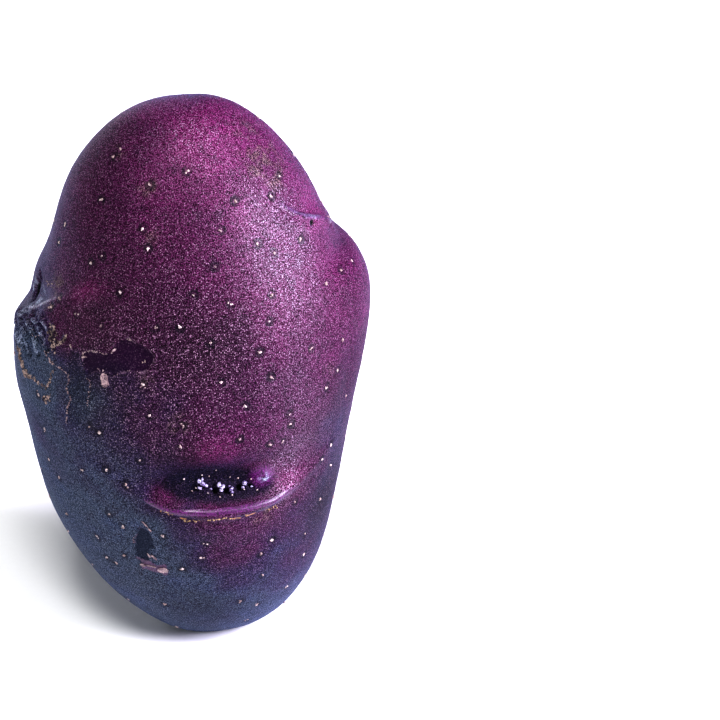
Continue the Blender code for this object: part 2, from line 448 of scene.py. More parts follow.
CRUST_PATCHES = {
    "crust below the left eye": (
        (50, 324), (54, 322), (57, 329), (54, 334), (58, 342), (66, 334), (67, 338), (62, 344),
        (56, 347), (54, 351), (51, 350), (50, 341), (47, 333),
    ),
    "scab": ((43, 397), (46, 394), (51, 395), (51, 400), (46, 403), (43, 401)),
}
CRACKS = {
    "rope of cork": ((17, 346), (20, 352), (21, 361), (23, 369), (28, 376)),
    "edge of the cheek": (
        (28, 376), (34, 379), (40, 384), (46, 387), (49, 384), (51, 378), (53, 370),
    ),
    "long crack": (
        (44, 350), (49, 358), (50, 362), (57, 366), (64, 371), (68, 375), (69, 380), (66, 387),
        (68, 393), (71, 400), (68, 405), (67, 415), (66, 423),
    ),
    "short crack": ((87, 378), (91, 385), (88, 395), (87, 405)),
}
WRINKLES = {
    "first fold": ((17, 312), (16, 325), (17, 338), (20, 350)),
    "second fold": ((19, 311), (21, 325), (25, 340), (28, 352)),
    "third fold": ((24, 311), (28, 325), (33, 338), (36, 352)),
    "fourth fold": ((29, 309), (34, 321), (41, 334), (46, 346)),
    "fifth fold": ((33, 308), (41, 320), (48, 331)),
}
FRONT_PIT = (
    (158, 484), (168, 472), (184, 467), (205, 465), (228, 465), (250, 466), (268, 472), (276, 482),
    (270, 492), (254, 499), (235, 504), (214, 506), (194, 504), (176, 499), (164, 492),
)
CHEEK_CREASE = ((31, 308), (46, 303), (64, 296), (84, 291), (104, 289))
SHOULDER_FOLD = ((278, 203), (287, 208), (296, 213), (305, 216), (316, 217), (330, 221))
FRONT_LIP = (
    (140, 497), (149, 502), (169, 511), (185, 513), (197, 513), (212, 513), (227, 511), (242, 509),
    (252, 507), (273, 501), (288, 491), (304, 480),
)
CORK_UNDER_LIP = (
    (160, 511), (170, 515), (183, 519), (197, 521), (212, 520), (227, 519), (240, 518), (252, 514),
    (268, 510), (276, 505),
)
print(len(RUBBED_PATCHES), "rubbed patches,", len(CRACKS), "cracks,", len(WRINKLES), "folds")

# %% Ragged outlines and the fine relief, in mm
PATCH_DEPTH, PATCH_RIM_RISE, PATCH_RIM_PLACE, PATCH_RIM_HALF = 0.16, 0.13, 0.28, 0.3
SCUFF_TALLNESS, SCUFF_REACH = 1.6, 4
FILM_RISE, WORN_DEPTH = 0.06, 0.05
CRUST_RISE, CRUST_UNEVENNESS = 0.22, 0.16

ragged = noise_at(1.1, 1) * 0.30 + noise_at(0.5, 2) * 0.16
relief = 0.030 * noise_at(2.4, 3) + 0.012 * noise_at(1.0, 4)

bare = depth_in_rings(RUBBED_PATCHES)
for azimuth, up, radius in SCUFFS_BEHIND:
    u, v, w = local(form_points, place(azimuth, up))
    scuff = np.where(abs(w) < SCUFF_REACH, radius - np.hypot(u, SCUFF_TALLNESS * v), OUTSIDE_MM)
    bare = np.maximum(bare, scuff)
bare = bare + ragged
relief -= PATCH_DEPTH * np.clip(bare / 0.35 + 0.5, 0, 1)
relief += PATCH_RIM_RISE * bell(bare + PATCH_RIM_PLACE, PATCH_RIM_HALF)

worn = np.clip((depth_in_ring(WORN_STRIP) + ragged) / 0.5 + 0.5, 0, 1)
film = np.clip((depth_in_ring(TORN_FILM) + ragged) / 0.3 + 0.5, 0, 1)
relief += FILM_RISE * film - WORN_DEPTH * worn
front_pit = depth_in_ring(FRONT_PIT) + ragged
# The front pit, drawn by pixel, is marked for painted shade as well.
pit_depth = np.maximum(pit_depth, np.clip(0.42 + front_pit / 2.0, 0, 1))
slope = np.clip(1 + front_pit / 2.6, 0, 1)

crust = depth_in_rings(CRUST_PATCHES) + 1.5 * ragged
lumpy = CRUST_RISE + CRUST_UNEVENNESS * noise_at(0.8, 5)
relief += np.clip(crust / 0.4 + 0.5, 0, 1) * lumpy
print("relief so far from", relief.min().round(2), "to", relief.max().round(2), "mm")

# %% Cracks, folds and the painted highlight on them, in mm
ROPE_HALF, ROPE_RISE = 0.42, 0.28
CRACK_HALF, CRACK_RISE = 0.22, 0.16
FOLD_RISE, FOLD_HALF = 0.42, 0.42
GROOVE_DEPTH, GROOVE_HALF, GROOVE_BESIDE = 0.34, 0.34, 0.75
CRUMPLE_HEIGHT, CRUMPLE_SINK = 0.22, 0.05

cracked = NOWHERE.copy()
beads = noise_at(0.9, 6)
for name, pixels in CRACKS.items():
    half, rise = (ROPE_HALF, ROPE_RISE) if name == "rope of cork" else (CRACK_HALF, CRACK_RISE)
    seam = bell(distance_to_line(pixels)[0] + 0.5 * ragged, half)
    relief += seam * rise * (0.7 + beads)
    cracked = np.maximum(cracked, seam * np.clip(0.75 + 1.4 * beads, 0, 1))

# Painted highlight, pale blue-grey, along the ridge of each fold, on the brow crease and at its spots.
painted_highlight = NOWHERE.copy()
holes_and_painted_shade = NOWHERE.copy()
broken = np.clip(0.1 + 1.6 * noise_at(1.6, 14), 0, 0.55)
for pixels in WRINKLES.values():
    far, share = distance_to_line(pixels)
    fade = np.sin(math.pi * np.clip(share * 0.9 + 0.1, 0, 1))
    groove = GROOVE_DEPTH * bell(far - GROOVE_BESIDE, GROOVE_HALF)
    relief += fade * (FOLD_RISE * bell(far, FOLD_HALF) - groove)
    painted_highlight = np.maximum(painted_highlight, 0.70 * bell(far, 0.45))
    # Painted shade: the grooves beside each fold, broken by noise, are darkened with the bud holes.
    holes_and_painted_shade = np.maximum(holes_and_painted_shade, bell(far - GROOVE_BESIDE, 0.26) * broken)

crease_far, crease_share = distance_to_line(CHEEK_CREASE)
crease_fade = np.clip(1.5 - 2.6 * crease_share, 0, 1)
painted_highlight = np.maximum(painted_highlight, 1.1 * bell(crease_far, 0.38) * crease_fade)
for pixel, radius in PAINTED_HIGHLIGHT_SPOTS.items():
    painted_highlight = np.maximum(painted_highlight, bell(reach_from(pixel), radius))
painted_highlight *= np.clip(0.6 + 1.0 * noise_at(0.7, 13), 0, 1)

crumpled = sum(bell(reach_from(pixel), radius) for pixel, radius in CRUMPLED_SPOTS.items())
crumples = CRUMPLE_HEIGHT * noise_at(0.8, 10) - CRUMPLE_SINK
relief += np.clip(crumpled, 0, 1) * crumples
print("relief runs from", relief.min().round(2), "to", relief.max().round(2), "mm")

# %% [markdown]
# ## Lips, folds and bud holes
#
# The brow of the front eye ends in a thin lip that shines, with a line of dried cork under it where
# the skin split. At the left eye the buds died back and left holes, painted near black as painted
# shade, and the grooves between the folds get the same painted shade. The fold over the right lobe
# runs on as a fine crease, with a painted highlight on its ridge.

# %% The lips and folds
BUD_HOLES = {
    (32, 275): 0.9, (31, 280): 1.1, (29, 285): 1.1, (40, 273): 0.4, (41, 278): 0.5, (39, 283): 0.7,
    (37, 288): 1.0, (36, 293): 0.8, (34, 299): 0.5,
    (15, 323): 0.35, (16, 329): 0.35, (22, 338): 0.35, (24, 344): 0.35,
    (314, 222): 0.6, (226, 491): 0.45, (239, 487): 0.5, (215, 491): 0.4, (195, 487): 0.3,
    (250, 485): 0.35,
}
SWELLINGS_BY_PIXEL = {
    (261, 474): (2.0, 1.3, 1.0), (250, 481): (1.0, 0.5, 0.3), (202, 485): (1.1, 0.45, 0.2),
    (222, 487): (0.9, 0.35, 0.2), (232, 488): (0.8, 0.25, 0.2), (139, 357): (2.2, -0.15, 0.0),
}
LIP_RISE, LIP_HALF = 0.44, 0.46
CORK_RISE, CORK_HALF, SPLIT_DEPTH, SPLIT_HALF = 0.10, 0.20, 0.12, 0.35
CREASE_RISE, CREASE_HALF = 0.34, 0.55
SHOULDER_RISE, SHOULDER_HALF, SHOULDER_GROOVE = 0.34, 0.45, 0.22
HOLE_DEPTH = 1.1
BROW_EDGE_RISE, BROW_EDGE_HALF = 0.2, 0.5

far, share = distance_to_line(FRONT_LIP)
lip = bell(far, LIP_HALF) * np.clip(np.sin(math.pi * np.clip(share, 0, 1)) * 2.2, 0, 1)
relief += LIP_RISE * lip
far, _ = distance_to_line(CORK_UNDER_LIP)
cork_line = bell(far + 0.4 * ragged, CORK_HALF) * np.clip(0.35 + 2.6 * beads, 0, 1)
relief += CORK_RISE * cork_line - SPLIT_DEPTH * bell(far, SPLIT_HALF)

cheek = bell(crease_far, CREASE_HALF) * np.clip(1.1 - crease_share, 0, 1)
relief += CREASE_RISE * cheek
far, share = distance_to_line(SHOULDER_FOLD)
fold = bell(far, SHOULDER_HALF) * np.clip(0.4 + share, 0, 1)
relief += SHOULDER_RISE * fold - SHOULDER_GROOVE * bell(far - 1.0, 0.5) * np.clip(share, 0, 1)
# The ridge of the fold over the lobe gets painted highlight too.
painted_highlight = np.maximum(painted_highlight, 0.45 * fold)

# The bud holes are sunk, and painted near black as painted shade.
for pixel, radius in BUD_HOLES.items():
    holes_and_painted_shade = np.maximum(holes_and_painted_shade, bell(reach_from(pixel) + 0.6 * ragged, 0.85 * radius))
relief -= HOLE_DEPTH * holes_and_painted_shade
for pixel, (radius, rise, gloss) in SWELLINGS_BY_PIXEL.items():
    swollen = bell(reach_from(pixel), radius)
    relief += rise * swollen
    lip = np.maximum(lip, gloss * swollen)

for eye in EYES[3:]:
    u, v, w = local(form_points, place(eye[1], eye[2]))
    u, v, above = along_eye(u, v, eye)
    edge = bell(above, BROW_EDGE_HALF) * bell(u, 0.4 * eye[3]) * bell(w, eye[3])
    lip = np.maximum(lip, 0.7 * edge)
    relief += BROW_EDGE_RISE * edge
print("deepest bud hole", (HOLE_DEPTH * holes_and_painted_shade.max()).round(2), "mm")

# %% [markdown]
# ## Where the lenticels are
#
# The pale dots are lenticels, the pores that the tuber breathes through. Those that the photograph
# shows are placed by pixel. A seeded draw spreads the rest over the sides that it doesn't show, as
# close together. Their places are settled here because a ring of painted shade darkens the skin round
# each, as the shadow of its plug.

# %% Places of the lenticels
LENTICELS = (
    (101, 200), (120, 148), (113, 156), (187, 171), (150, 185), (235, 201), (280, 176), (271, 196),
    (143, 228), (221, 230), (148, 249), (102, 256), (91, 263), (59, 242), (65, 224), (258, 244),
    (274, 253), (301, 239), (352, 261), (341, 270), (327, 283), (215, 267), (120, 293), (194, 295),
    (231, 304), (272, 294), (269, 321), (77, 314), (100, 326), (155, 328), (180, 328), (60, 298),
    (51, 307), (210, 343), (260, 352), (343, 340), (271, 377), (338, 370), (327, 387), (346, 396),
    (221, 383), (245, 406), (290, 414), (291, 424), (150, 416), (182, 426), (99, 432), (89, 427),
    (181, 447), (270, 444), (283, 442), (240, 439), (140, 461), (322, 460), (331, 465), (331, 445),
    (106, 470), (82, 470), (126, 485), (295, 502), (320, 500), (109, 514), (123, 527), (97, 537),
    (162, 536), (205, 544), (272, 540), (305, 534), (261, 554), (202, 558), (182, 569), (304, 554),
    (263, 575), (287, 586), (123, 555), (107, 558), (116, 563), (247, 620), (240, 601), (257, 604),
    (165, 604), (38, 394), (44, 429), (49, 460), (59, 478), (67, 514), (312, 348), (143, 385),
)
SPACING_MM = 6.4
PORE_FLOOR_MM = 3
TURNED_AWAY = 0.12
PORE_SHADE_MM, PORE_SHADE_HALF, HALO_SINK, SINK_HALF = 0.6, 0.35, 0.05, 0.75
draw = random.Random(11)
toward_eye = EYE_POINT_MM - form_points
facing = np.einsum("ij,ij->i", toward_eye, form_normals) / np.linalg.norm(toward_eye, axis=1)
pores = [point for point, _ in map(on_skin, LENTICELS) if point is not None]
seen = len(pores)
order = list(range(len(form_points)))
draw.shuffle(order)
for i in order:
    clear = form_points[i, 2] > PORE_FLOOR_MM and pit_depth[i] < 0.5
    if facing[i] >= TURNED_AWAY or not clear:
        continue
    if min(np.linalg.norm(np.array(pores) - form_points[i], axis=1)) > SPACING_MM:
        pores.append(form_points[i])
pore_tree = KDTree(len(pores))
for i, point in enumerate(pores):
    pore_tree.insert(Vector(point), i)
pore_tree.balance()
from_pore = np.array([pore_tree.find(Vector(point))[2] for point in form_points])
# Painted shade: a dark ring round each lenticel, as the shadow of its raised plug.
painted_pore_shade = bell(from_pore - PORE_SHADE_MM, PORE_SHADE_HALF)
relief -= HALO_SINK * bell(from_pore, SINK_HALF)
print(seen, "lenticels by pixel and", len(pores) - seen, "by the draw")

# %% [markdown]
# ## Where the colour changes
#
# The skin isn't one purple. It blushes magenta round the eyes, and a gradient paints it magenta
# towards the top right, where the lights stand, and dusty navy towards the stem end and the left:
# partly the skin's own blush and partly painted light and shade. Each blush, and each spot of
# painted shade, is a soft spot on the skin with a radius in mm and a strength. They are kept as
# numbers on the mesh's points, which the material reads, so they stay in place from every side.

# %% Soft spots of pigment, painted shade, sparkle and russet
# A gradient of painted light: the blush rises towards the upper right, where the lights stand, so the
# skin is painted magenta there and navy away from them.
BLUSH_AT_START, BLUSH_PER_MM, BLUSH_STARTS_MM = 0.42, 0.013, 33
TOWARD_THE_LIGHTS = np.array([0.55, -0.1, 0.75])
PLAIN_SPARKLE, PLAIN_WAX = 0.74, 0.14
BLUSHES = {
    "crown": ((200, 150), 6, 0.20),
    "above the front eye": ((217, 452), 3.6, 0.50),
    "inside the lip": ((165, 498), 2.6, 0.46),
    "foot of the pit": ((215, 503), 3.0, 0.30),
    "lip end": ((288, 484), 3, 0.30),
    "right of the front eye": ((292, 470), 6, 0.25),
    "left brow": ((76, 293), 1.5, 0.30),
    "middle of the left brow": ((88, 291), 1.6, 0.45),
    "end of the left brow": ((101, 289), 1.8, 0.30),
    "purple under the left brow": ((72, 322), 7, 0.22),
    "right lobe": ((350, 300), 9, 0.06),
    "middle": ((262, 335), 10, 0.15),
    "fold over the lobe": ((312, 210), 4, 0.30),
    "below the lip": ((238, 545), 9, 0.22),
    "side of the chin": ((300, 555), 6, 0.15),
    "dark cheek": ((32, 365), 6, -0.60),
    "dark temple": ((105, 160), 8, -0.10),
    "navy strip": ((82, 395), 5, -0.30),
    "navy belly": ((96, 440), 9, -0.08),
    "right temple": ((290, 148), 6, -0.16),
    "dark chin": ((120, 560), 14, -0.30),
    "violet right edge": ((330, 440), 8, -0.12),
    "low right edge": ((318, 505), 7, -0.05),
}
# The wax makes the coat glossier, and through the pale flecks it also paints highlight sparks.
WAXY = {
    "right shoulder": ((280, 218), 9, 0.95),
    "right middle": ((290, 282), 8, 0.75),
    "right flank": ((300, 345), 6, 0.40),
    "low right flank": ((299, 400), 6, 0.50),
    "lip end": ((284, 492), 3.5, 0.60),
    "low right edge": ((325, 500), 8, -0.14),
    "right edge": ((350, 370), 6, -0.12),
    "stem end": ((205, 610), 8, -0.14),
    "above the lip end": ((280, 465), 4, 0.40),
    "crown": ((190, 138), 8, 0.75),
    "right of the front eye": ((295, 450), 6, 0.50),
    "inside the lip": ((225, 500), 7, 0.20),
}
SPARKLING = {
    "middle": ((185, 325), 12, 0.42),
    "low middle": ((190, 400), 10, 0.28),
    "under the left brow": ((95, 325), 6, 0.40),
    "belly": ((115, 425), 9, 0.40),
    "right middle": ((265, 330), 9, 0.30),
}
# Spots of painted shade: the skin is painted darker in the middle, on the belly, under the left brow,
# in the right valley, at the stem end and on the low right edge.
PAINTED_SHADE_SPOTS = {
    "middle": ((188, 350), 12, 0.78),
    "navy strip": ((92, 393), 6, 0.60),
    "belly": ((165, 460), 6, 0.40),
    "upper middle": ((165, 245), 6, 0.35),
    "right temple": ((288, 146), 5, 0.30),
    "right of the middle": ((235, 335), 7, 0.35),
    "under the left brow": ((85, 318), 5, 0.45),
    "low right edge": ((324, 500), 7, 1.30),
    "right valley": ((342, 385), 6, 0.60),
    "right lobe": ((352, 300), 6, 0.40),
    "stem end": ((205, 614), 9, 0.60),
    "inner slope": ((160, 490), 3, 0.20),
}
RUSSETS = {
    "right temple": ((268, 168), 3.6, 0.9),
    "right of the crown": ((255, 140), 6.0, 0.5),
    "top left": ((148, 186), 1.8, 0.9),
    "left brow": ((58, 284), 2.2, 1.0),
    "first pair": ((120, 150), 1.8, 0.7),
    "belly": ((178, 424), 1.9, 0.8),
    "beside the scuff": ((147, 385), 1.6, 0.7),
    "above the middle": ((150, 236), 2.0, 0.5),
    "under the lip": ((262, 514), 2.4, 0.7),
    "right edge": ((330, 372), 2.4, 0.4),
}


def soft_spots(spots):
    """The sum of soft round spots, each given by its pixel, its radius in mm and its strength."""
    return sum(s * bell(reach_from(pixel), radius) for pixel, radius, s in spots.values())


blush_and_painted_light = BLUSH_AT_START + BLUSH_PER_MM * (form_points @ TOWARD_THE_LIGHTS - BLUSH_STARTS_MM)
blush_and_painted_light += soft_spots(BLUSHES)
blush_and_painted_light += 0.12 * noise_at(9, 7) + 0.10 * noise_at(3.5, 8)
streaks = form_points @ np.array([[0.5, 0.3, 0.2], [0.0, 0.5, 0.0], [0.25, 0.0, 1.0]])
dust = np.clip(1.2 * noise_at(2.2, 11, streaks) + 0.6 * noise_at(6, 12), 0, 1)
wax = np.maximum(PLAIN_WAX + soft_spots(WAXY), 0)
sparkle = PLAIN_SPARKLE + soft_spots(SPARKLING)
# Painted shade, kept as the mark deep.
deep = soft_spots(PAINTED_SHADE_SPOTS)
russet = soft_spots(RUSSETS)
back_russet = np.clip(noise_at(7, 9) * 2.6 - 1.0, 0, 0.9)
russet += np.where(toward_camera, 0, back_russet)
print("blush from", blush_and_painted_light.min().round(2), "to", blush_and_painted_light.max().round(2))

# %% The skin as a mesh with its marks
skin_points = form_points + form_normals * relief[:, None]
skin_points[:, 2] = np.maximum(skin_points[:, 2], 0)
skin_mesh = bpy.data.meshes.new("skin")
skin_mesh.from_pydata((skin_points * MM).tolist(), [], skin_faces.tolist())
skin_mesh.shade_smooth()
skin = in_scene("skin", skin_mesh)
MARKS = {
    "blush_and_painted_light": blush_and_painted_light, "russet": russet, "dust": dust, "deep": deep, "sparkle": sparkle, "wax": wax,
    "bare": np.clip(bare, -3, 3), "worn": worn, "film": film, "painted_highlight": painted_highlight, "cork": cork_line,
    "crust": np.maximum(np.clip(crust, -3, 3), cracked - 0.5), "painted_pore_shade": painted_pore_shade, "hole": holes_and_painted_shade,
    "lip": np.maximum(lip, np.maximum(0.5 * cheek, 0.8 * fold)), "pit": pit_depth, "slope": slope,
}
for name, values in MARKS.items():
    layer = skin.data.attributes.new(name, "FLOAT", "POINT")
    layer.data.foreach_set("value", values.astype(np.float32))
print("skin:", len(skin.data.vertices), "points with the marks", ", ".join(MARKS))

# %% [markdown]
# ## Colours and nodes
#
# Colours are written as the sRGB hex values that one reads off a screen. Cycles works in linear
# light, so one function turns them. A second small function adds any node with its settings and
# links, and a few more built on it do sums, masks and mixtures. They keep each finish short enough
# to read. Patterns are laid out in mm of the object, so their scale is a real size.

# %% Hex colours, and functions that add nodes
def colour(hex_code):
    """A linear colour from an sRGB hex value."""
    parts = [int(hex_code[i:i + 2], 16) / 255 for i in (1, 3, 5)]
    return (*[p / 12.92 if p <= 0.04045 else ((p + 0.055) / 1.055) ** 2.4 for p in parts], 1.0)


def fill(node, settings, links=()):
    """Sets and links a node: a key is a property in small letters, or a socket's name or number."""
    for key, value in settings.items():
        if isinstance(key, str) and key[0].islower():
            setattr(node, key, value)
        else:
            node.inputs[key].default_value = value
    for key, socket in dict(links).items():
        node.id_data.links.new(socket, node.inputs[key])
    return node


def add(tree, kind, settings, links=()):
    """Adds a node with its settings and links."""
    return fill(tree.nodes.new(kind), settings, links)


def new_material(name):
    """A material with its tree and its Principled shader."""
    material = bpy.data.materials.new(name)
    material.use_nodes = True
    return material, material.node_tree, material.node_tree.nodes["Principled BSDF"]


print("mid purple in linear light:", [round(c, 3) for c in colour("#5A1F55")[:3]])

# %% Patterns, sums, masks and mixtures made of nodes
def in_mm(tree):
    """Where a point is on its object, in mm."""
    where = add(tree, "ShaderNodeTexCoord", {}).outputs["Object"]
    settings = {"operation": "SCALE", "Scale": 1 / MM}
    return add(tree, "ShaderNodeVectorMath", settings, {0: where}).outputs[0]


def speckle(mm, size, detail=2.0, roughness=0.5):
    """A noise whose waves have a size in mm."""
    settings = {"Scale": 1 / size, "Detail": detail, "Roughness": roughness}
    return add(mm.id_data, "ShaderNodeTexNoise", settings, {"Vector": mm}).outputs["Fac"]


def ramp(source, low, high, from_value=0.0, to_value=1.0):
    """A value that runs smoothly between two limits of another."""
    settings = {"interpolation_type": "SMOOTHSTEP", 1: low, 2: high, 3: from_value, 4: to_value}
    return add(source.id_data, "ShaderNodeMapRange", settings, {0: source}).outputs[0]


def combine(operation, *values):
    """Sockets and plain numbers put together, each with what the ones before it gave."""
    total = values[0]
    for value in values[1:]:
        given = {0: total, 1: value}
        numbers = {k: v for k, v in given.items() if isinstance(v, (int, float))}
        sockets = {k: v for k, v in given.items() if k not in numbers}
        tree = next(iter(sockets.values())).id_data
        total = add(tree, "ShaderNodeMath", {"operation": operation, **numbers}, sockets).outputs[0]
    return total


def times(*values):
    return combine("MULTIPLY", *values)


def most(*values):
    return combine("MAXIMUM", *values)


def rest_of(value):
    return combine("SUBTRACT", 1.0, value)


def lay_over(under, layers, kind="RGBA"):
    """Lays colours, or numbers for kind FLOAT, one over the other, each where its mask is."""
    first, second, out = (6, 7, 2) if kind == "RGBA" else (2, 3, 0)
    for mask, over, strength in layers:
        settings = {"data_type": kind}
        links = {0: times(mask, strength)}
        for key, given in ((first, under), (second, over)):
            if isinstance(given, (str, float)):
                settings[key] = colour(given) if isinstance(given, str) else given
            else:
                links[key] = given
        under = add(mask.id_data, "ShaderNodeMix", settings, links).outputs[out]
    return under


print("a pattern of 0.2 mm has", round(1 / 0.2), "waves to the mm")

# %% [markdown]
# ## Purple potato skin
#
# The skin is a thin layer of cork cells, the periderm, with pigment under it. It is neither shiny nor
# chalky. Its pebbled grain, drawn as noise of 0.17 mm, is lighter on top and darker between: partly
# its own tone and partly painted shade in the hollows. Pale cells 0.26 mm apart are flecks in the
# skin, and where the wax is they are painted thicker and whiter as lilac painted highlight sparks. The
# finish is matt, of roughness 0.7, under a thin natural wax that shines only on the tops of the grain.
# Dust on it turns grey-blue at a low angle, as a sheen does. The marks say where shade and highlights
# are painted, where the skin sparkles and where it is bare, crusted or stained with russet.

# %% The grain of the skin, in mm
GRAIN_MM = 0.17
SALT_MM = 0.26
MOTTLE_MM = 2.2
EDGE_MM = 0.35
skin_material, tree, skin_shader = new_material("potato skin, pigmented periderm")
mm = in_mm(tree)
marks = {
    name: add(tree, "ShaderNodeAttribute", {"attribute_name": name}).outputs["Fac"] for name in MARKS
}
grain = speckle(mm, GRAIN_MM, 1.0, 0.6)
mottle = speckle(mm, MOTTLE_MM, 3.0, 0.6)
edge_noise = speckle(mm, EDGE_MM)
salt = add(tree, "ShaderNodeTexVoronoi", {"Scale": 1 / SALT_MM, "Randomness": 1.0}, {"Vector": mm})
salt_kind = add(tree, "ShaderNodeSeparateColor", {}, {0: salt.outputs["Color"]}).outputs[0]
print("grain", GRAIN_MM, "mm, pale cells", SALT_MM, "mm apart")

# %% Masks that the finish is mixed by
jitter = times(combine("SUBTRACT", edge_noise, 0.5), 0.6)


def torn(mark, share=1.0):
    """A mark with a ragged edge."""
    return combine("ADD", marks[mark], times(jitter, share))


bare_here = ramp(torn("bare"), -0.06, 0.20)
rim_band = times(ramp(torn("bare"), -0.34, -0.10), rest_of(bare_here))
rim_here = times(rim_band, ramp(mottle, 0.52, 0.64))
crust_here = ramp(torn("crust"), -0.05, 0.12)
pit_with_painted_shade = ramp(torn("pit", 0.8), 0.12, 0.95)
lip_here = ramp(marks["lip"], 0.12, 0.62)
smooth_here = most(times(bare_here, 0.4), lip_here)
salt_dot = ramp(salt.outputs["Distance"], 0.16, 0.52, 1.0, 0.0)
salt_here = times(salt_dot, combine("POWER", salt_kind, 2.2))
salt_here = combine("ADD", salt_here, times(ramp(grain, 0.54, 0.76), 0.14))
russet_patch = times(ramp(marks["russet"], 0.10, 0.80), ramp(mottle, 0.42, 0.60))
russet_here = times(russet_patch, ramp(grain, 0.52, 0.64))
print(len(tree.nodes), "nodes so far")

# %% The colours of the skin, laid one over the other
DUSTY_NAVY, VIOLET, PLUM, MAGENTA = "#343C4B", "#271936", "#380F30", "#5E1B4A"
NAVY_SALT, PURPLE_SALT, PAINTED_SPARK_SALT = "#9399A6", "#C298B0", "#D6CCE0"
BARE_NAVY, BARE_PURPLE = "#0E1322", "#1C0722"
purple_share = ramp(marks["blush_and_painted_light"], 0.10, 0.50)
UNDER_GRAIN = (
    # The blush and painted light: violet, plum and magenta as it rises towards the lights.
    (ramp(marks["blush_and_painted_light"], 0.05, 0.35), VIOLET, 1.0),
    (ramp(marks["blush_and_painted_light"], 0.30, 0.60), PLUM, 1.0),
    (ramp(marks["blush_and_painted_light"], 0.55, 1.20), MAGENTA, 1.0),
    (ramp(mottle, 0.52, 0.72), "#160B1E", 0.40),
    (times(marks["dust"], rest_of(purple_share)), "#363F5C", 0.45),
    # Painted shade: darker plum where the deep mark says.
    (marks["deep"], "#160815", 0.75),
    (marks["worn"], "#0E1228", 0.60),
    (russet_patch, "#33232B", 0.45),
    # Painted shade: near black navy in the eye pits.
    (pit_with_painted_shade, "#080A1A", 0.88),
    (lip_here, "#480E48", 0.90),
    # Painted highlight on the fold ridges, the brow crease and the eye walls.
    (ramp(torn("painted_highlight"), 0.10, 0.90), "#A0A9BC", 0.66),
)
OVER_GRAIN = (
    (russet_here, "#8C7868", 0.62),
    (crust_here, "#2C2428", 0.85),
    (ramp(marks["film"], 0.2, 0.8), "#66495F", 0.60),
    (rim_here, "#6E5868", 0.60),
    # Painted shade round each lenticel, broken by mottle.
    (times(ramp(marks["painted_pore_shade"], 0.2, 0.9), ramp(mottle, 0.35, 0.55)), "#0C0712", 0.75),
    (ramp(marks["cork"], 0.30, 0.60), "#A87B4F", 0.90),
    # Painted shade: near black in the bud holes and the grooves between the folds.
    (ramp(torn("hole", 0.5), 0.22, 0.46), "#030306", 1.0),
)
SALT_STRENGTH, BARE_STRENGTH = 0.46, 0.76

pigment = lay_over(DUSTY_NAVY, UNDER_GRAIN)
# The grain's own lighter and darker tone, with painted shade in the hollows between the pebbles and
# cells.
painted_cell_shade = ramp(salt.outputs["Distance"], 0.10, 0.70, 1.20, 0.75)
pebble_tone_and_painted_shade = times(ramp(grain, 0.37, 0.63, 0.18, 1.85), painted_cell_shade)
grained = add(tree, "ShaderNodeVectorMath", {"operation": "SCALE"},
              {0: pigment, "Scale": pebble_tone_and_painted_shade}).outputs[0]
salt_free = ramp(most(marks["slope"], lip_here), 0.0, 1.0, 1.0, 0.25)
# Where the wax is, the pale flecks are painted thicker and whiter as painted highlight sparks.
flecks_and_painted_sparks = most(marks["sparkle"], ramp(marks["wax"], 0.30, 1.0, 0.0, 1.5))
salt_colour = lay_over(NAVY_SALT, ((purple_share, PURPLE_SALT, 1.0), (marks["wax"], PAINTED_SPARK_SALT, 0.65)))
bare_colour = lay_over(BARE_NAVY, ((purple_share, BARE_PURPLE, 1.0),))
salted_and_bared = lay_over(grained, (
    (times(salt_here, salt_free, flecks_and_painted_sparks), salt_colour, SALT_STRENGTH),
    (bare_here, bare_colour, BARE_STRENGTH),
))
fill(skin_shader, {}, {"Base Color": lay_over(salted_and_bared, OVER_GRAIN)})
print(len(UNDER_GRAIN) + len(OVER_GRAIN) + 2, "layers of colour over", DUSTY_NAVY)

# %% The roughness, wax, bump and sheen of the skin
SKIN_ROUGHNESS, CRUST_ROUGHNESS, RIM_ROUGHNESS = 0.70, 0.80, 0.75
BUMP_MM = 0.10
rough_layers = ((crust_here, CRUST_ROUGHNESS, 1.0), (rim_here, RIM_ROUGHNESS, 1.0))
rough = lay_over(SKIN_ROUGHNESS, rough_layers, "FLOAT")
dull = times(most(bare_here, crust_here, rim_here, pit_with_painted_shade), 0.85)
waxy = most(times(ramp(grain, 0.44, 0.60, 0.05, 1.0), marks["wax"]), times(lip_here, 0.9))
pebble_height = combine("ADD", grain, times(salt_dot, 0.30))
skin_height = times(pebble_height, rest_of(times(smooth_here, 0.85)))
crust_height = times(crust_here, edge_noise, 1.6)
bump = add(tree, "ShaderNodeBump", {"Strength": 1.0, "Distance": BUMP_MM * MM},
           {"Height": combine("ADD", skin_height, crust_height)}).outputs[0]
fill(skin_shader, {
    "Coat Roughness": 0.33, "Coat IOR": 1.5, "Specular IOR Level": 0.10, "IOR": 1.45,
    "Sheen Weight": 0.22, "Sheen Roughness": 0.28, "Sheen Tint": colour("#8FA8E8"),
}, {
    "Roughness": rough, "Coat Weight": times(waxy, rest_of(dull)), "Normal": bump,
    "Coat Normal": bump,
})
skin.data.materials.append(skin_material)
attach(skin, "root")
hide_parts("potato")
print("skin finished with", len(tree.nodes), "nodes")

# %% [markdown]
# ## Crumbs of cork
#
# A lenticel pushes up a little plug of loose cork, 0.5 to 0.8 mm wide, that breaks into a few crumbs.
# The crust, the cracks and the torn rims are crumbs too. Painted dots would vanish at the edge of the
# body, so each crumb is a low irregular dome with its root in the skin.

# %% A crumb
DOME_RINGS = ((1.05, -0.35), (0.92, 0.45), (0.55, 0.95))
DOME_TOP = 0.9
UNEVEN = 0.35


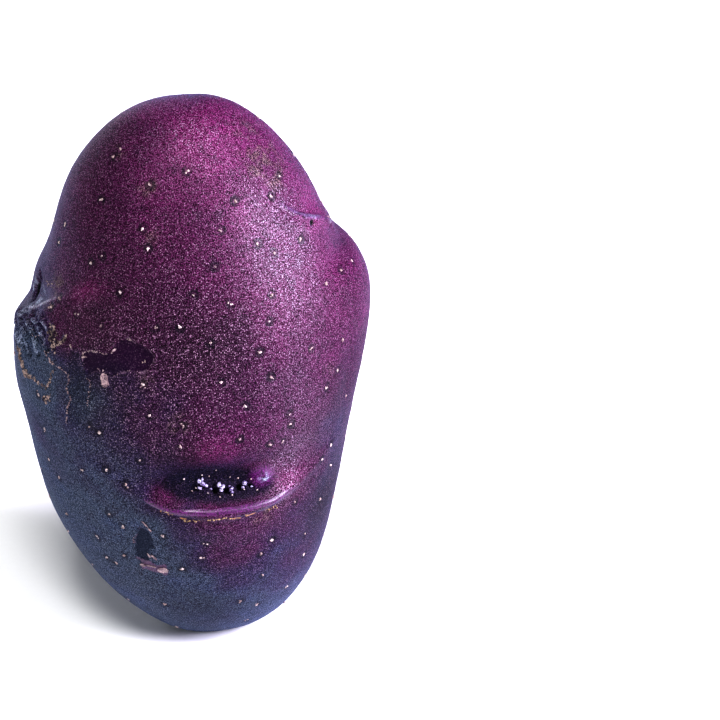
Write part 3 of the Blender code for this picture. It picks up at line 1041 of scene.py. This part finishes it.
def raise_dome(bm, centre, out, radius, height, stretch=1.0, turn=0.0, sides=9):
    """A low closed dome with an uneven rim, its root a little below the skin."""
    out = Vector(out).normalized()
    first = out.orthogonal().normalized()
    second = out.cross(first)
    rings = []
    wobble = [1 + draw.uniform(-UNEVEN, UNEVEN) for _ in range(sides)]
    for share, level in DOME_RINGS:
        ring = []
        for k in range(sides):
            angle = 2 * math.pi * k / sides
            u = radius * share * wobble[k] * math.cos(angle) * stretch
            v = radius * share * wobble[k] * math.sin(angle) / stretch
            u, v = u * math.cos(turn) - v * math.sin(turn), u * math.sin(turn) + v * math.cos(turn)
            ring.append(bm.verts.new(Vector(centre) + first * u + second * v + out * level * height))
        rings.append(ring)
    top = bm.verts.new(Vector(centre) + out * height * DOME_TOP)
    for lower, upper in zip(rings[:-1], rings[1:]):
        for k in range(sides):
            n = (k + 1) % sides
            bm.faces.new((lower[k], lower[n], upper[n], upper[k]))
    for k in range(sides):
        bm.faces.new((rings[-1][k], rings[-1][(k + 1) % sides], top))
    bm.faces.new(reversed(rings[0]))


final_tree = BVHTree.FromPolygons([Vector(p) for p in skin_points], skin_faces.tolist())


def bm_piece(name, bm, material):
    """A smooth-shaded object on the body from a bmesh in mm."""
    bmesh.ops.recalc_face_normals(bm, faces=bm.faces)
    bmesh.ops.scale(bm, vec=(MM, MM, MM), verts=bm.verts)
    mesh = bpy.data.meshes.new(name)
    bm.to_mesh(mesh)
    bm.free()
    mesh.shade_smooth()
    mesh.materials.append(material)
    piece = in_scene(name, mesh)
    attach(piece, "root")
    print(name + ":", len(mesh.vertices), "points,", len(mesh.polygons), "faces")


def crumb_near(bm, point, spread, smallest, largest):
    """A crumb on the skin within a short way of a point."""
    beside = Vector([draw.gauss(0, spread) for _ in range(3)])
    centre, out, _, _ = final_tree.find_nearest(Vector(point) + beside)
    radius = draw.uniform(smallest, largest)
    raise_dome(bm, centre, out, radius, radius * draw.uniform(0.5, 0.9), draw.uniform(0.8, 1.3),
               draw.uniform(0, math.pi), 7)


print("the skin's tree has", len(skin_faces), "faces")

# %% [markdown]
# ## Dry cork, shreds and bud skin
#
# The plugs are dry cork: matt, pale tan, uneven. The crust is the same cork, older and browner, and
# the split under the lip shows it fresh and golden. Shreds of skin dry to a dusty pink and are a
# little smoother. A roughness of 0.8, or 0.6 for the shreds, and a grain of 0.2 mm give all four.
# The buds are alive: violet, moist and glossy, so they get a smooth clear coat.

# %% Dry cork in four tones, and bud skin
CRUMB_MM, TONE_MM, CRUMB_BUMP_MM = 0.20, 1.3, 0.06


def crumbly_material(name, light, dark, shade, roughness=0.8):
    """A matt uneven material of two tones with darker crumbs, as dry cork has."""
    material, tree, shader = new_material(name)
    mm = in_mm(tree)
    crumbs = speckle(mm, CRUMB_MM)
    tone = ramp(speckle(mm, TONE_MM), 0.40, 0.60)
    shaded = lay_over(light, ((tone, dark, 1.0), (ramp(crumbs, 0.50, 0.64), shade, 1.0)))
    bump = add(tree, "ShaderNodeBump", {"Strength": 0.6, "Distance": CRUMB_BUMP_MM * MM},
               {"Height": crumbs}).outputs[0]
    fill(shader, {"Roughness": roughness}, {"Base Color": shaded, "Normal": bump})
    return material


cork_material = crumbly_material("dry cork of the pores", "#BFAFAB", "#94807C", "#544344")
brown_cork = crumbly_material("old brown cork", "#9A867E", "#5A4A44", "#161114")
gold_cork = crumbly_material("fresh golden cork", "#C0A27A", "#8C7456", "#40322C")
pink_shreds = crumbly_material("dried shreds of skin", "#A08A88", "#6A5258", "#2E222E", 0.6)
bud_skin = crumbly_material("moist bud skin", "#A79DBA", "#5E4A78", "#171028", 0.35)
fill(bud_skin.node_tree.nodes["Principled BSDF"], {"Coat Weight": 1.0, "Coat Roughness": 0.12})
print("five small finishes made")

# %% The lenticels
bm = bmesh.new()
for i, pore in enumerate(pores):
    crumb_near(bm, pore, 0.08, 0.14, 0.28)
    for _ in range(draw.choice((1, 2, 2, 3))):
        crumb_near(bm, pore, 0.18, 0.08, 0.19)
bm_piece("lenticels", bm, cork_material)

# %% [markdown]
# ## Crust, cracks and torn rims
#
# They are strewn with crumbs along the same lines as the relief, close together in the rope of cork
# and sparse along a torn rim. Brown crumbs are old cork, and pink ones are shreds of the skin itself.

# %% Crumbs along lines
def strew(bm, pixels, per_mm, spread, smallest, largest):
    """Crumbs along a line of pixels."""
    hits = [on_skin(pixel, final_tree)[0] for pixel in pixels]
    line = [Vector(point) for point in hits if point is not None]
    for start, end in zip(line[:-1], line[1:]):
        for _ in range(max(1, round(per_mm * (end - start).length))):
            crumb_near(bm, start.lerp(end, draw.random()), spread, smallest, largest)


BROWN_LINES = (
    (CRACKS["rope of cork"], 9, 0.22, 0.14, 0.34),
    (CRACKS["edge of the cheek"], 5, 0.16, 0.09, 0.22),
    (((50, 324), (53, 330), (50, 336), (51, 343), (53, 349)), 8, 0.22, 0.10, 0.26),
    (((53, 330), (56, 335), (53, 340)), 6, 0.25, 0.08, 0.20),
    (((54, 346), (58, 343), (63, 341), (66, 335)), 7, 0.16, 0.10, 0.24),
    (((44, 399), (47, 396), (50, 397), (48, 400)), 7, 0.28, 0.10, 0.26),
    (((46, 284), (52, 286), (57, 281), (60, 285)), 4, 0.40, 0.07, 0.15),
    (((48, 307), (53, 305)), 5, 0.20, 0.08, 0.18),
    (((140, 360), (144, 361)), 5, 0.25, 0.08, 0.16),
)
PINK_LINES = (
    (CRACKS["long crack"], 7.0, 0.08, 0.06, 0.14),
    (CRACKS["short crack"], 4.0, 0.10, 0.05, 0.12),
    (((82, 357), (84, 353), (89, 351), (98, 352), (104, 354)), 7, 0.08, 0.08, 0.17),
    (((84, 357), (86, 356)), 8, 0.15, 0.10, 0.24),
    (((104, 354), (109, 354), (113, 352)), 4, 0.08, 0.07, 0.14),
    (((70, 345), (73, 349)), 6, 0.06, 0.08, 0.14),
    (((128, 339), (133, 342)), 6, 0.16, 0.07, 0.16),
    (((98, 369), (105, 374)), 4, 0.12, 0.07, 0.14),
    (((113, 376), (120, 373), (128, 371), (136, 372), (147, 372)), 1.8, 0.12, 0.05, 0.11),
    (((140, 384), (145, 388)), 5, 0.25, 0.06, 0.14),
    (((134, 539), (134, 543)), 5, 0.10, 0.07, 0.13),
    (((30, 326), (36, 334), (43, 344), (48, 352)), 2.2, 0.35, 0.06, 0.14),
)
GOLD_LINES = (
    (((162, 511), (168, 512), (173, 515)), 7, 0.10, 0.07, 0.15),
    (((183, 520), (189, 521), (196, 521)), 9, 0.12, 0.08, 0.18),
    (((197, 521), (208, 520)), 3, 0.10, 0.06, 0.12),
    (((208, 520), (216, 520), (226, 518)), 9, 0.12, 0.08, 0.17),
    (((230, 519), (240, 517)), 6, 0.12, 0.06, 0.14),
    (((246, 515), (249, 514)), 5, 0.10, 0.06, 0.12),
    (((265, 511), (270, 509), (276, 506)), 6, 0.16, 0.06, 0.15),
)
for name, lines, material in (
    ("cork_crust", BROWN_LINES, brown_cork), ("torn_shreds", PINK_LINES, pink_shreds),
    ("split_under_lip", GOLD_LINES, gold_cork),
):
    bm = bmesh.new()
    for line in lines:
        strew(bm, *line)
    bm_piece(name, bm, material)

# %% [markdown]
# ## Loose scraps and buds
#
# Where the skin tore, a few scraps stay on by one edge and curl as they dry: a thin closed sheet,
# lifted at its free side. The buds of the front eye are small glossy knobs, each a cluster of scale
# leaves, so each is a few round lumps grown together.

# %% Curled scraps of skin
SHEET_MM = 0.07
SCRAPS = (
    ((105, 380), 100, 1.15, 0.62, 0.26),
    ((145, 524), -45, 0.75, 0.20, 0.16),
    ((150, 530), -55, 0.42, 0.18, 0.12),
    ((149, 555), -70, 0.50, 0.22, 0.20),
    ((154, 557), -50, 0.75, 0.28, 0.22),
    ((143, 565), -20, 0.50, 0.42, 0.10),
    ((151, 566), 0, 0.90, 0.32, 0.08),
    ((163, 570), 20, 0.95, 0.66, 0.14),
    ((114, 350), 35, 0.42, 0.18, 0.16),
    ((71, 347), -50, 0.45, 0.14, 0.12),
)


def curl_scrap(bm, pixel, turn_deg, half_length, half_width, lift):
    """A thin closed sheet with a ragged outline, its far side curled up from the skin."""
    centre, out = map(Vector, on_skin(pixel, final_tree))
    right = (Vector((1, 0, 0)) - out * out.x).normalized()
    upward = out.cross(right)
    turn = math.radians(turn_deg)
    lengthwise = right * math.cos(turn) + upward * math.sin(turn)
    across = out.cross(lengthwise)
    columns, rows = 9, 6
    edge = [1 + draw.uniform(-0.22, 0.22) for _ in range(columns)]
    layers = []
    for under in (0.0, SHEET_MM):
        layer = []
        for i in range(columns):
            u = 2 * i / (columns - 1) - 1
            width = half_width * edge[i] * (1.02 - abs(u) ** 3) ** 0.5
            for j in range(rows):
                v = 2 * j / (rows - 1) - 1
                rise = 0.05 + lift * ((v + 1) / 2) ** 2 + 0.3 * lift * u * u - under
                spot = centre + lengthwise * u * half_length + across * v * width + out * rise
                layer.append(bm.verts.new(spot))
        layers.append(layer)
    top, bottom = layers
    for i in range(columns - 1):
        for j in range(rows - 1):
            a, b = i * rows + j, (i + 1) * rows + j
            bm.faces.new((top[a], top[b], top[b + 1], top[a + 1]))
            bm.faces.new((bottom[a + 1], bottom[b + 1], bottom[b], bottom[a]))
    rim = [i * rows for i in range(columns)]
    rim += [(columns - 1) * rows + j for j in range(1, rows)]
    rim += [i * rows + rows - 1 for i in range(columns - 2, -1, -1)]
    rim += list(range(rows - 2, 0, -1))
    for a, b in zip(rim, rim[1:] + rim[:1]):
        bm.faces.new((top[b], top[a], bottom[a], bottom[b]))


bm = bmesh.new()
for scrap in SCRAPS:
    curl_scrap(bm, *scrap)
bm_piece("loose_scraps", bm, pink_shreds)

# %% Buds in the front eye
BUD_LUMPS = (
    ((199, 481), 0.26), ((202, 479), 0.20), ((203, 484), 0.34), ((200, 488), 0.26), ((206, 486), 0.22),
    ((219, 485), 0.32), ((222, 487), 0.34), ((221, 490), 0.24), ((231, 489), 0.30), ((232, 492), 0.20),
    ((229, 486), 0.18), ((245, 483), 0.30), ((243, 487), 0.22), ((211, 489), 0.18), ((252, 486), 0.20),
)
PIT_DOTS = (
    (184, 479), (202, 475), (209, 476), (216, 470), (230, 477), (238, 478), (251, 479), (192, 491),
    (196, 488), (208, 493), (220, 497), (244, 489), (257, 490), (232, 495),
)
bm = bmesh.new()
for pixel, radius in BUD_LUMPS:
    raise_dome(bm, *on_skin(pixel, final_tree), 1.3 * radius, 1.6 * radius)
for eye in EYES[3:]:
    spot, round_way, up_way, out = place(eye[1], eye[2])
    for k in (-1.1, -0.4, 0.3, 1.0):
        beside = round_way * k * 0.05 * eye[3] + up_way * (PIT_ABOVE_BROW * eye[3] - 0.5 * eye[4])
        point, out, _, _ = final_tree.find_nearest(Vector(spot + beside))
        radius = draw.uniform(0.14, 0.30)
        raise_dome(bm, point, out, 1.3 * radius, 1.5 * radius)
bm_piece("eye_buds", bm, bud_skin)
bm = bmesh.new()
for pixel in PIT_DOTS:
    raise_dome(bm, *on_skin(pixel, final_tree), draw.uniform(0.12, 0.18), 0.12, sides=7)
bm_piece("pit_pores", bm, cork_material)

# %% [markdown]
# ## The floor and the light
#
# The potato stands on white paper that the light washes out. A key light high in front shapes it, and
# a stronger soft strip at the right makes the broad highlight and throws the shadow to the left. Low
# light from the left and from behind draws the pale edges there, and a weak surround fills the rest.

# %% The floor, the lights and the surround
PAPER_MM = 1.1
FLOOR_SIZE, FLOOR_DROP = 3.0, 0.0001
SURROUND = 0.085


def studio_light(name, azimuth, elevation, distance, width, height, watts, tint):
    """A soft rectangle of light that faces the middle of the potato."""
    data = bpy.data.lights.new(name, "AREA")
    data.shape = "RECTANGLE"
    data.size = width
    data.size_y = height
    data.energy = watts
    data.color = colour(tint)[:3]
    light = in_scene(name, data)
    a, e = math.radians(azimuth), math.radians(elevation)
    way = Vector((math.sin(a) * math.cos(e), -math.cos(a) * math.cos(e), math.sin(e)))
    light.location = Vector((0, 0, HEIGHT * MM / 2)) + way * distance
    light.rotation_euler = way.to_track_quat("Z", "Y").to_euler()


studio_light("key", 0, 60, 1.0, 0.3, 0.3, 7.1, "#FFFFFF")
studio_light("side strip", 70, 28, 0.9, 0.34, 0.50, 19.5, "#ECE8FF")
studio_light("left fill", -78, 4, 1.0, 0.8, 0.4, 4.0, "#F2F5FF")
studio_light("back edge", -150, 6, 1.0, 0.7, 0.5, 5.0, "#F4F6FF")

paper_material, tree, paper_shader = new_material("white backdrop paper")
paper_tone = lay_over("#F7F7F7", ((speckle(in_mm(tree), PAPER_MM), "#FBFBFB", 1.0),))
fill(paper_shader, {"Roughness": 0.9, "Specular IOR Level": 0.0}, {"Base Color": paper_tone})
bm = bmesh.new()
bmesh.ops.create_grid(bm, x_segments=1, y_segments=1, size=FLOOR_SIZE)
mesh = bpy.data.meshes.new("floor")
bm.to_mesh(mesh)
bm.free()
mesh.materials.append(paper_material)
floor = in_scene("floor", mesh)
floor.location.z = -FLOOR_DROP

world = bpy.data.worlds.new("soft surround")
world.use_nodes = True
fill(world.node_tree.nodes["Background"], {"Color": colour("#FFFFFF"), "Strength": SURROUND})
bpy.context.scene.world = world
bpy.context.scene.view_settings.view_transform = "Standard"
bpy.context.scene.view_settings.look = "High Contrast"
